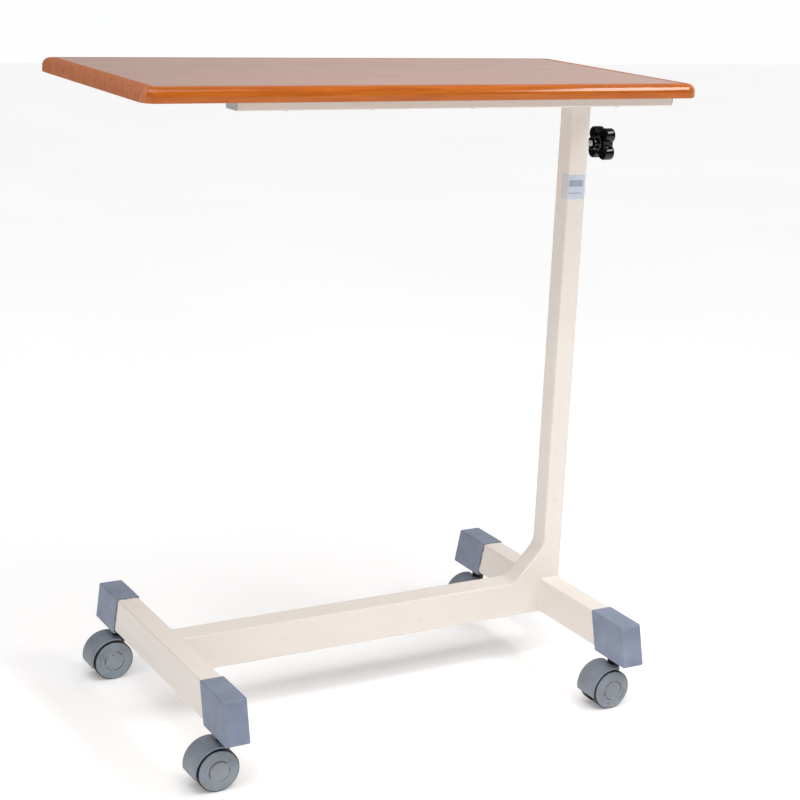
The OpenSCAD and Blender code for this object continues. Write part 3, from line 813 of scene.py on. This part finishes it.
# A wheel's moulded centre: hub and rim inside, the domed face outside
def wheelMesh():
    w = wheelLook
    radii = [w["disc"] - i * 0.62 * mm for i in range(1, 43)]
    inner = [(w["bore"], w["in"]), (w["hub"], w["in"]), (w["hub"], w["web"]), (w["rimIn"], w["web"]),
             (w["rimIn"], w["in"]), (w["rimOut"], w["in"]), (w["rimOut"], w["tyreEdge"]),
             (w["disc"] - 0.5 * mm, w["tyreEdge"]), (w["disc"], w["tyreEdge"] + 0.4 * mm),
             (w["disc"], w["face"] - 0.6 * mm), (w["disc"] - 0.25 * mm, w["face"] - 0.1 * mm)]
    back = w["web"] + 1.3 * mm

    def outlineAt(turn):
        angle = math.degrees(turn)
        face = [(r, faceHeight(r, angle)) for r in radii if r > 0.3 * mm]
        return inner + face + [(0, faceHeight(0, angle)), (0, back), (w["bore"], back)]

    return latheBy(outlineAt, 120)


def tyreMesh():
    w = wheelLook
    low, high, out, soft = w["in"], w["tyreEdge"], w["tyre"], 1.3 * mm
    outline = [(w["rimOut"], low)] + arcPoints((out - soft, low + soft), soft, -90, 0, 5)
    for place in (0.3, 0.5, 0.7):             # fine grooves run round the tread
        middle = low + (high - low) * place
        outline += [(out, middle - 0.3 * mm), (out - 0.3 * mm, middle - 0.1 * mm),
                    (out - 0.3 * mm, middle + 0.1 * mm), (out, middle + 0.3 * mm)]
    outline += arcPoints((out - soft, high - soft), soft, 0, 90, 5) + [(w["rimOut"], high)]
    return lathe(outline, 96)


def wheelPieces(corner, which, axle):
    outward = (-1 if "front" in corner else 1) * (1 if which == "outer" else -1)
    place = Matrix.Translation(axle) @ Matrix.Rotation(-outward * math.pi / 2, 4, "X")
    spin = Matrix.Rotation(math.radians(wheelLook["spin"][corner]), 4, "Z")
    label, body = which + "_" + corner, which + "_wheel_" + corner
    disc = meshPiece("wheelCentre_" + label, *turned(wheelMesh(), place @ spin))
    finishPiece(disc, body, "disc", ["wheel_" + label], sharpAngle=40)
    tyre = meshPiece("tread_" + label, *turned(tyreMesh(), place))
    finishPiece(tyre, body, "tyre", ["tyre_" + label], sharpAngle=40)


for corner in corners:
    axle = sum(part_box("axle_" + corner), Vector()) / 2
    stem = sum(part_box("stem_" + corner), Vector()) / 2
    hoodPiece(corner, axle, stem)
    for which in ("outer", "inner"):
        wheelPieces(corner, which, axle)
print("castors made")


railLook = {"corner": 1.8 * mm, "wall": 1.2 * mm}
crossWidth = 25 * mm
tubeOver("innerColumn", "inner_column", 2, "lifting_top", corner=2.2 * mm)
tubeOver("frontRail", "front_rail", 0, "lifting_top", **railLook)
tubeOver("backRail", "back_rail", 0, "lifting_top", **railLook)
tubeOver("leftCrossRail", "left_cross_rail", 1, "lifting_top", **railLook)


# The two cross rails over the column are one CAD node
def columnCrossRails():
    low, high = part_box("column_cross_rails")
    for name, x in (("Left", low[0]), ("Right", high[0] - crossWidth)):
        ends = Vector((x, low[1], low[2])), Vector((x + crossWidth, high[1], high[2]))
        piece = tubeIn("columnCrossRail" + name, *ends, 1, railLook["wall"], railLook["corner"], "paint")
        finishPiece(piece, "lifting_top", "paint", ["column_cross_rails"])


columnCrossRails()


bushLook = {"hole": 25.6 * mm, "flange": 31 * mm, "skirt": 27 * mm, "flangeTall": 3 * mm,
            "flangeCorner": 2.8 * mm, "skirtCorner": 1.2 * mm, "bevel": 0.5 * mm}


# The bush in the outer column's end: a flange on top of it and a skirt inside it
def bushPieces():
    low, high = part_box("column_bush")
    middle, split = (low + high) / 2, high[2] - bushLook["flangeTall"]
    flange, skirt = ("flange", split, high[2], bushLook["bevel"]), ("skirt", low[2], split, 0)
    for name, z0, z1, bevel in (flange, skirt):
        half = bushLook[name] / 2
        piece = tubeIn("bush" + name.capitalize(), Vector((middle.x - half, middle.y - half, z0)),
                       Vector((middle.x + half, middle.y + half, z1)), 2, half - bushLook["hole"] / 2,
                       bushLook[name + "Corner"], "nylon")
        finishPiece(piece, "base", "nylon", ["column_bush"], bevel=bevel)


bushPieces()
plate = meshPiece("mountingPlate", *boxMesh(*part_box("mounting_plate")))
finishPiece(plate, "lifting_top", "paint", ["mounting_plate"], bevel=1 * mm)


plugLook = {"play": 0.8 * mm, "edge": 1.4 * mm, "neck": 1.4 * mm, "long": 12 * mm, "corner": 2.2 * mm}


# Grey plugs in the rails' four ends
def railPlugs():
    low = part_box("rail_plugs")[0]
    railLow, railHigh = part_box("front_rail")
    width, height = (railHigh[i] - railLow[i] - plugLook["play"] for i in (1, 2))
    middle, head = (railLow + railHigh) / 2, railLow[0] - low[0]
    edge, neck = plugLook["edge"], plugLook["neck"]
    steps = [(-plugLook["long"], neck), (0, neck), (0, 0.3 * mm), (0.2 * mm, 0), (head - edge, 0)]
    steps += [(head - edge + edge * math.sin(t), edge - edge * math.cos(t))
              for t in (0.4, 0.8, 1.2, 1.57)]
    parts = []
    for end, face in ((-1, railLow[0]), (1, railHigh[0])):
        for y in (middle.y, -middle.y):
            sections = []
            for along, inset in steps:
                corner = max(plugLook["corner"] - inset, 0.3 * mm)
                sections.append([(face + end * along, y + py, middle.z + pz) for py, pz in
                                 roundedOutline(width - 2 * inset, height - 2 * inset, corner, 4)])
            parts.append(skin(sections))
    piece = meshPiece("railPlugs", *joined(*parts))
    return finishPiece(piece, "lifting_top", "plug", ["rail_plugs"])


railPlugs()


screwLook = {"head": 4.2 * mm, "tall": 2.2 * mm, "shank": 2.1 * mm, "long": 25 * mm, "slot": 0.55 * mm,
             "slotReach": 2.3 * mm, "slotDeep": 1.1 * mm, "places": (-190, -76, 66, 226, 284)}


# A pan-head screw, head down at the origin, with a cross recess
def screwMesh():
    w = screwLook
    radii = [w["head"] * f for f in (1.0, 0.97, 0.9, 0.8, 0.68, 0.56, 0.46, 0.38, 0.3, 0.22, 0.15, 0.08)]

    def outlineAt(turn):
        outline = [(w["shank"], w["long"]), (w["shank"], 0), (w["head"], 0)]
        for r in radii:
            x, y = abs(r * math.cos(turn)), abs(r * math.sin(turn))
            away = max(min(x, y) - w["slot"], max(x, y) - w["slotReach"])
            sunk = w["slotDeep"] * (1 - ease(away, 0, 0.16 * mm))
            crown = w["tall"] * (1 - 0.62 * (r / w["head"]) ** 4)
            outline.append((r, -crown + sunk))
        return outline + [(0, -w["tall"] + w["slotDeep"]), (0, w["long"])]

    return latheBy(outlineAt, 48)


def frameScrews():
    railLow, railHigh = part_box("front_rail")
    y = (railLow[1] + railHigh[1]) / 2
    places = [(x * mm, side * y, railLow[2]) for x in screwLook["places"] for side in (-1, 1)]
    guide, screw = meshPiece("screwPlaces", places, []), meshPiece("oneScrew", *screwMesh())
    tidyMesh(screw.data, 35)
    piece = growPiece("frameScrews", trees["scatter"], {
        "Places": guide, "Thing": screw, "Turn": 3.0, "Seed": 7, "Material": finishes["zinc"]})
    for helper in (guide, screw):
        bpy.data.objects.remove(helper)
    return finishPiece(piece, "lifting_top", "zinc", ["frame_screws"], sharpAngle=35)


frameScrews()
print("under-frame made")


lipLook = {"width": 18 * mm, "corner": 18 * mm, "upper": 10 * mm, "lower": 2 * mm, "mitre": 0.06 * mm,
           "cornerSteps": 8, "plainSteps": 12}


# Section of a lipping as (distance in from the outer edge, height)
def lippingOutline(thick):
    w = lipLook
    outer = [(w["upper"] - x, z) for x, z in arcPoints((0, thick - w["upper"]), w["upper"], 90, 0, 12)]
    under = [(w["lower"] - x, z) for x, z in arcPoints((0, w["lower"]), w["lower"], 0, -90, 4)]
    return [(w["width"], 0), (w["width"], thick), (w["width"] - 4 * mm, thick)] + outer + under


# One lipping, from half of one rounded corner to half of the next, then turned to its side
def lippingPiece(name, node, turn, finish):
    low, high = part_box(node)
    topLow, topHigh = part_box("top_laminate")
    halfX, halfY = ((topHigh[i] - topLow[i]) / 2 + lipLook["width"] for i in (0, 1))
    if turn % 180:
        halfX, halfY = halfY, halfX
    corner, gap, steps = lipLook["corner"], lipLook["mitre"], lipLook["cornerSteps"]
    outline = lippingOutline(high[2] - low[2])
    sections = []
    for end in (-1, 1):
        half = []
        for i in range(steps + 1):
            a = math.radians(90 - 45 * i / steps)
            section = []
            for d, z in outline:
                x, y = halfX - d, halfY - d
                if d < corner - 0.001 * mm:
                    x = halfX - corner + (corner - d) * math.cos(a)
                    y = halfY - corner + (corner - d) * math.sin(a)
                section.append((end * (x - gap * i / steps), y, z + low[2]))
            half.append(section)
        sections += half if end > 0 else half[::-1]
    first, last = sections[steps:steps + 2]
    parts = [i / lipLook["plainSteps"] for i in range(1, lipLook["plainSteps"])]
    sections[steps + 1:steps + 1] = [             # plain stretches between the corners
        [tuple(p + (q - p) * part for p, q in zip(a, b)) for a, b in zip(first, last)]
        for part in parts]
    piece = meshPiece(name, *turned(skin(sections), Matrix.Rotation(math.radians(turn), 4, "Z")))
    return finishPiece(piece, "lifting_top", finish, [node], sharpAngle=45)


lippingPiece("frontLipping", "front_lipping", 180, "lipping")
lippingPiece("backLipping", "back_lipping", 0, "lipping")
lippingPiece("leftLipping", "left_lipping", 90, "endLipping")
lippingPiece("rightLipping", "right_lipping", -90, "endLipping")
print("tabletop made")


knobLook = {"lobeAt": 17.4 * mm, "lobe": 9.8 * mm, "notchAt": 23.6 * mm, "notch": 8 * mm,
            "soft": 1.1 * mm, "filled": 5 * mm,   # how much shallower the notches are at the outer face
            "edge": 3.2 * mm, "hub": 9 * mm, "hubLong": 10 * mm, "plug": 6.2 * mm, "plugDeep": 0.7 * mm}


# The knob's radius at an angle: four lobes and four notches, blended softly
def lobedRadius(angle, fill):
    w = knobLook
    a = angle % (math.pi / 2) - math.pi / 4
    b = math.pi / 4 - abs(a)
    inside = w["lobe"] ** 2 - (w["lobeAt"] * math.sin(a)) ** 2
    lobe = w["lobeAt"] * math.cos(a) + math.sqrt(inside) if inside > 0 else w["lobeAt"]
    lobe = max(lobe, w["lobeAt"])
    at = w["notchAt"] + w["filled"] * fill
    inside = w["notch"] ** 2 - (at * math.sin(b)) ** 2
    notch = at * math.cos(b) - math.sqrt(inside) if inside > 0 else at * 1.4
    return -w["soft"] * math.log(math.exp(-lobe / w["soft"]) + math.exp(-notch / w["soft"]))


# The knob in rows of (height, inset from the lobed outline, or else a fixed radius)
def knobPiece():
    low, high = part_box("clamp_knob")
    edge, hub, hubLong, plug, deep = (
        knobLook[key] for key in ("edge", "hub", "hubLong", "plug", "plugDeep"))
    thick = high[0] - low[0] - hubLong
    rows = [(-hubLong, None, hub - 0.9 * mm), (-hubLong, None, hub - 0.5 * mm),
            (-hubLong + 0.5 * mm, None, hub), (-3 * mm, None, hub + 0.3 * mm),
            (-1 * mm, None, hub + 0.8 * mm), (0, None, hub + 1.8 * mm)]
    ends = roundOver(thick, edge)
    rows += [(thick - h, inset, 0) for h, inset in reversed(ends)]
    rows += [(thick * f, 0, 0) for f in (0.35, 0.5, 0.65)]
    rows += [(h, inset, 0) for h, inset in ends]
    rows += [(thick, None, plug + 1.2 * mm), (thick, None, plug + 0.4 * mm),
             (thick - deep, None, plug), (thick - deep * 0.6, None, plug * 0.5)]
    sections = []
    for h, inset, fixed in rows:
        section = []
        for i in range(144):
            a = 2 * math.pi * i / 144
            r = fixed if inset is None else lobedRadius(a, h / thick) - inset
            section.append((h, r * math.cos(a), r * math.sin(a)))
        sections.append(section)
    middle = (low + high) / 2
    place = Matrix.Translation((low[0] + hubLong, middle.y, middle.z))
    piece = meshPiece("clampKnob", *turned(skin(sections), place))
    return finishPiece(piece, "clamp_handle", "knob", ["clamp_knob"], sharpAngle=40)


knobPiece()


studLook = {"pitch": 1.25 * mm, "threadDeep": 0.62 * mm}


# The stud's thread as rings between its two plain ends
def studPiece():
    low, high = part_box("clamp_stud")
    length, radius, pitch = high[0] - low[0], (high[2] - low[2]) / 2, studLook["pitch"]
    outline = [(0, 0), (radius - 1 * mm, 0), (radius - 0.2 * mm, 0.8 * mm)]
    for i in range(1, int(length / pitch)):
        outline += [(radius, i * pitch), (radius - studLook["threadDeep"], (i + 0.5) * pitch)]
    outline += [(radius - 0.3 * mm, length), (0, length)]
    middle = (low + high) / 2
    place = Matrix.Translation((low[0], middle.y, middle.z)) @ Matrix.Rotation(math.pi / 2, 4, "Y")
    piece = meshPiece("clampStud", *turned(lathe(outline, 40), place))
    return finishPiece(piece, "clamp_handle", "zinc", ["clamp_stud"], sharpAngle=25)


studPiece()


# A painted hexagon nut with a turned face, welded to the column
def nutPiece():
    low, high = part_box("clamp_nut")
    radius, middle, face = (high[2] - low[2]) / 2, (low + high) / 2, high[0]
    rows = [(low[0], 0.1 * mm), (low[0] + 0.5 * mm, 0), (face - 0.9 * mm, 0), (face - 0.3 * mm, 0.5 * mm),
            (face, 1.1 * mm), (face, 2.6 * mm), (face - 0.5 * mm, 3.2 * mm)]
    turns = [math.pi / 3 * i for i in range(6)]
    sections = [[(x, middle.y + (radius - inset) * math.sin(a), middle.z + (radius - inset) * math.cos(a))
                 for a in turns] for x, inset in rows]
    piece = meshPiece("clampNut", *skin(sections))
    return finishPiece(piece, "base", "paint", ["clamp_nut"], bevel=0.5 * mm)


nutPiece()
print("clamp made")


# A blank label, wrapped round the column's front corner; its bars are (low, high, right end, softness)
labelLook = {"low": 685 * mm, "high": 719 * mm, "front": 27 * mm, "side": 16 * mm, "thick": 0.14 * mm,
             "lift": 0.05 * mm, "margin": 1.5 * mm, "edge": 0.3 * mm,
             "band": (0.52, 0.78, 24.5 * mm, 0.015), "rule": (0.22, 0.28, 22.5 * mm, 0.012)}


def labelFinish():
    p, look = Finish("labelFilm"), labelLook
    x = p.axes()
    up = (x.out("Z") - look["low"]) / (look["high"] - look["low"])
    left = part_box("outer_column")[0][0]

    def printed(low, high, right, soft):
        tall, edge = up.above(low, soft) * (1 - up.above(high, soft)), look["edge"]
        return tall * x.above(left + look["margin"], edge) * (1 - x.above(left + right, edge))

    band, rule = printed(*look["band"]), printed(*look["rule"])
    wear = p.noise(260, 4, 0.7).above(0.62, 0.08)
    colour = p.ramp(p.noise(60, 3), [(0.3, (0.50, 0.56, 0.66)), (0.7, (0.60, 0.655, 0.74))])
    colour = p.mix((1 - x.above(left + 0.001, 0.0004)) * 0.6, colour, (0.70, 0.645, 0.60))
    colour = p.mix(band * (0.62 - wear * 0.3), colour, (0.17, 0.20, 0.27))
    colour = p.mix(rule * (0.5 - wear * 0.25), colour, (0.20, 0.22, 0.28))
    return p.done(Base_Color=colour, Roughness=0.28 + wear * 0.2, Coat_Weight=0.4, Coat_Roughness=0.1,
                  Normal=p.bump(p.noise(180, 2), 0.00005, 0.4))


def labelPiece():
    low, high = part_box("outer_column")
    radius, lift, out = weldment["corner"], labelLook["lift"], labelLook["lift"] + labelLook["thick"]
    path = [(low[0], low[1] + labelLook["side"], -1, 0), (low[0], low[1] + radius, -1, 0)]
    for i in range(1, 8):
        a = math.pi / 2 * i / 8
        path.append((low[0] + radius - radius * math.cos(a), low[1] + radius - radius * math.sin(a),
                     -math.cos(a), -math.sin(a)))
    path += [(low[0] + radius, low[1], 0, -1), (low[0] + labelLook["front"], low[1], 0, -1)]
    foot, top = labelLook["low"], labelLook["high"]
    rim = ((lift, foot), (out, foot), (out, top), (lift, top))
    sections = [[(x + nx * d, y + ny * d, z) for d, z in rim] for x, y, nx, ny in path]
    piece = meshPiece("blankLabel", *skin(sections))
    tidyMesh(piece.data, 40)
    piece.data.materials.append(labelFinish())
    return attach(piece, "base")


labelPiece()

# CAD nodes that show as they are
kept = {"top_laminate": "laminate", "board_core": "board", "inner_glide": "nylon", "clamp_pad": "brass"}
kept.update({part + corner: "zinc" for corner in corners for part in ("stem_", "axle_")})
for node, finish in kept.items():
    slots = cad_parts[node].data.materials
    slots.clear()
    slots.append(finishes[finish])
print("label and kept nodes painted")


floorLook = {"reach": 9.0, "dark": (0.90, 0.90, 0.905), "light": (0.925, 0.925, 0.93),
             "glow": (0.98, 0.985, 1.0, 1), "glowStrength": 0.18}


def floorPiece():
    reach = floorLook["reach"]
    points = [(-reach, -reach, 0), (reach, -reach, 0), (reach, reach, 0), (-reach, reach, 0)]
    floor = meshPiece("floor", points, [(0, 1, 2, 3)])
    p = Finish("paleFloor")
    colour = p.ramp(p.noise(1.3, 2), [(0.3, floorLook["dark"]), (0.7, floorLook["light"])])
    floor.data.materials.append(p.done(
        Base_Color=colour, Roughness=0.75, Emission_Color=floorLook["glow"],
        Emission_Strength=floorLook["glowStrength"]))


floorPiece()


# Each box's place, target, size, power and tint, and what it has besides
lightBoxes = {
    # the long box at the upper right draws the bright line on the lipping and the column's shadow
    "keyBox": ((1.17, -0.96, 1.76), (0.2, -0.1, 0.8), (1.0, 0.32), 11.5, (1.0, 0.985, 0.965),
               {"roll": 45}),
    "frontBox": ((1.6, -3.2, 2.3), (0.3, 0, 0.4), (1.6, 1.2), 4, (1.0, 0.985, 0.975),
                 {"mirrored": False}),
    "sideBox": ((-4.2, -1.6, 1.6), (0.2, 0, 0.3), (1.8, 1.2), 32, (1.0, 0.985, 0.97),
                {"mirrored": False}),
    "footBox": ((-0.85, -0.85, 2.15), (0.36, -0.06, 0.1), (0.3, 0.3), 0.40, (1.0, 0.99, 0.98),
                {"mirrored": False, "spread": 34}),
    "flashBox": ((-1.06, -2.2, 1.12), (0, 0, 0.7), (0.12, 0.12), 2.6, (1.0, 1.0, 1.0), {}),
}
sunLook = {"power": 1.9, "angle": 60, "tint": (1.0, 0.99, 0.97), "way": (0.10, 0.30, -0.95)}


def areaLight(name, place, target, size, power, tint, roll=0, mirrored=True, spread=180):
    lamp = bpy.data.lights.new(name, "AREA")
    lamp.shape, lamp.size, lamp.size_y = "RECTANGLE", *size
    lamp.energy, lamp.color, lamp.spread = power, tint, math.radians(spread)
    holder = bpy.data.objects.new(name, lamp)
    aim = (Vector(target) - Vector(place)).to_track_quat("-Z", "Y").to_matrix().to_4x4()
    holder.matrix_world = Matrix.Translation(place) @ aim @ Matrix.Rotation(math.radians(roll), 4, "Z")
    holder.visible_glossy = mirrored
    bpy.context.scene.collection.objects.link(holder)


sunLamp = bpy.data.lights.new("overheadSun", "SUN")
sunLamp.energy, sunLamp.color = sunLook["power"], sunLook["tint"]
sunLamp.angle = math.radians(sunLook["angle"])
sun = bpy.data.objects.new("overheadSun", sunLamp)
sun.rotation_euler = Vector(sunLook["way"]).to_track_quat("-Z", "Y").to_euler()
bpy.context.scene.collection.objects.link(sun)
for name, (*values, extras) in lightBoxes.items():
    areaLight(name, *values, **extras)


worldLook = {"tint": (0.985, 0.99, 1.0, 1), "front": 0.21, "frontLost": 0.85,
             "back": 0.66, "backGain": 0.32, "edge": 0.68, "soft": 0.37}


# White to the eye; dimmer as a light, and its back half brighter than the front, most in reflections
def studioWorld():
    world = bpy.data.worlds.new("studio")
    bpy.context.scene.world = world
    world.use_nodes = True
    tree, look = world.node_tree, worldLook
    tree.nodes.clear()
    point = addNode(tree, "ShaderNodeTexCoord").out("Object")
    way = addNode(tree, "ShaderNodeSeparateXYZ", None, {0: point})
    back = (way * 0.8 + way.out("Y") * 0.6).above(look["edge"], look["soft"])
    rays = addNode(tree, "ShaderNodeLightPath")
    seen, glossy = rays.out("Is Camera Ray"), rays.out("Is Glossy Ray")
    room = back * (look["back"] + glossy * look["backGain"])
    room = room + look["front"] * (1 - glossy * look["frontLost"])
    glow = addNode(tree, "ShaderNodeBackground", None,
                   {"Color": look["tint"], "Strength": room * (1 - seen) + seen})
    addNode(tree, "ShaderNodeOutputWorld", None, {"Surface": glow})


studioWorld()
bpy.context.scene.view_settings.view_transform = "Standard"
camera = {"place": (-1.1161, -2.0853, 1.0700), "azimuth": -30.93, "elevation": 14.955, "roll": 2.947,
          "lens": 81.99, "sensor": 36, "shift": (-0.06, -0.01)}


def cameraPiece():
    turn, tip, roll = (math.radians(camera[k]) for k in ("azimuth", "elevation", "roll"))
    forward = Vector((-math.sin(turn) * math.cos(tip), math.cos(turn) * math.cos(tip), -math.sin(tip)))
    level = Vector((math.cos(turn), math.sin(turn), 0))
    upright = level.cross(forward)
    right = level * math.cos(roll) + upright * math.sin(roll)
    up = upright * math.cos(roll) - level * math.sin(roll)
    lens = bpy.data.cameras.new("camera")
    lens.lens, lens.sensor_width = camera["lens"], camera["sensor"]
    lens.shift_x, lens.shift_y = camera["shift"]
    holder = bpy.data.objects.new("camera", lens)
    aim = Matrix((right, up, -forward)).transposed().to_4x4()
    holder.matrix_world = Matrix.Translation(camera["place"]) @ aim
    bpy.context.scene.collection.objects.link(holder)
    bpy.context.scene.camera = holder


cameraPiece()
print("scene ready")
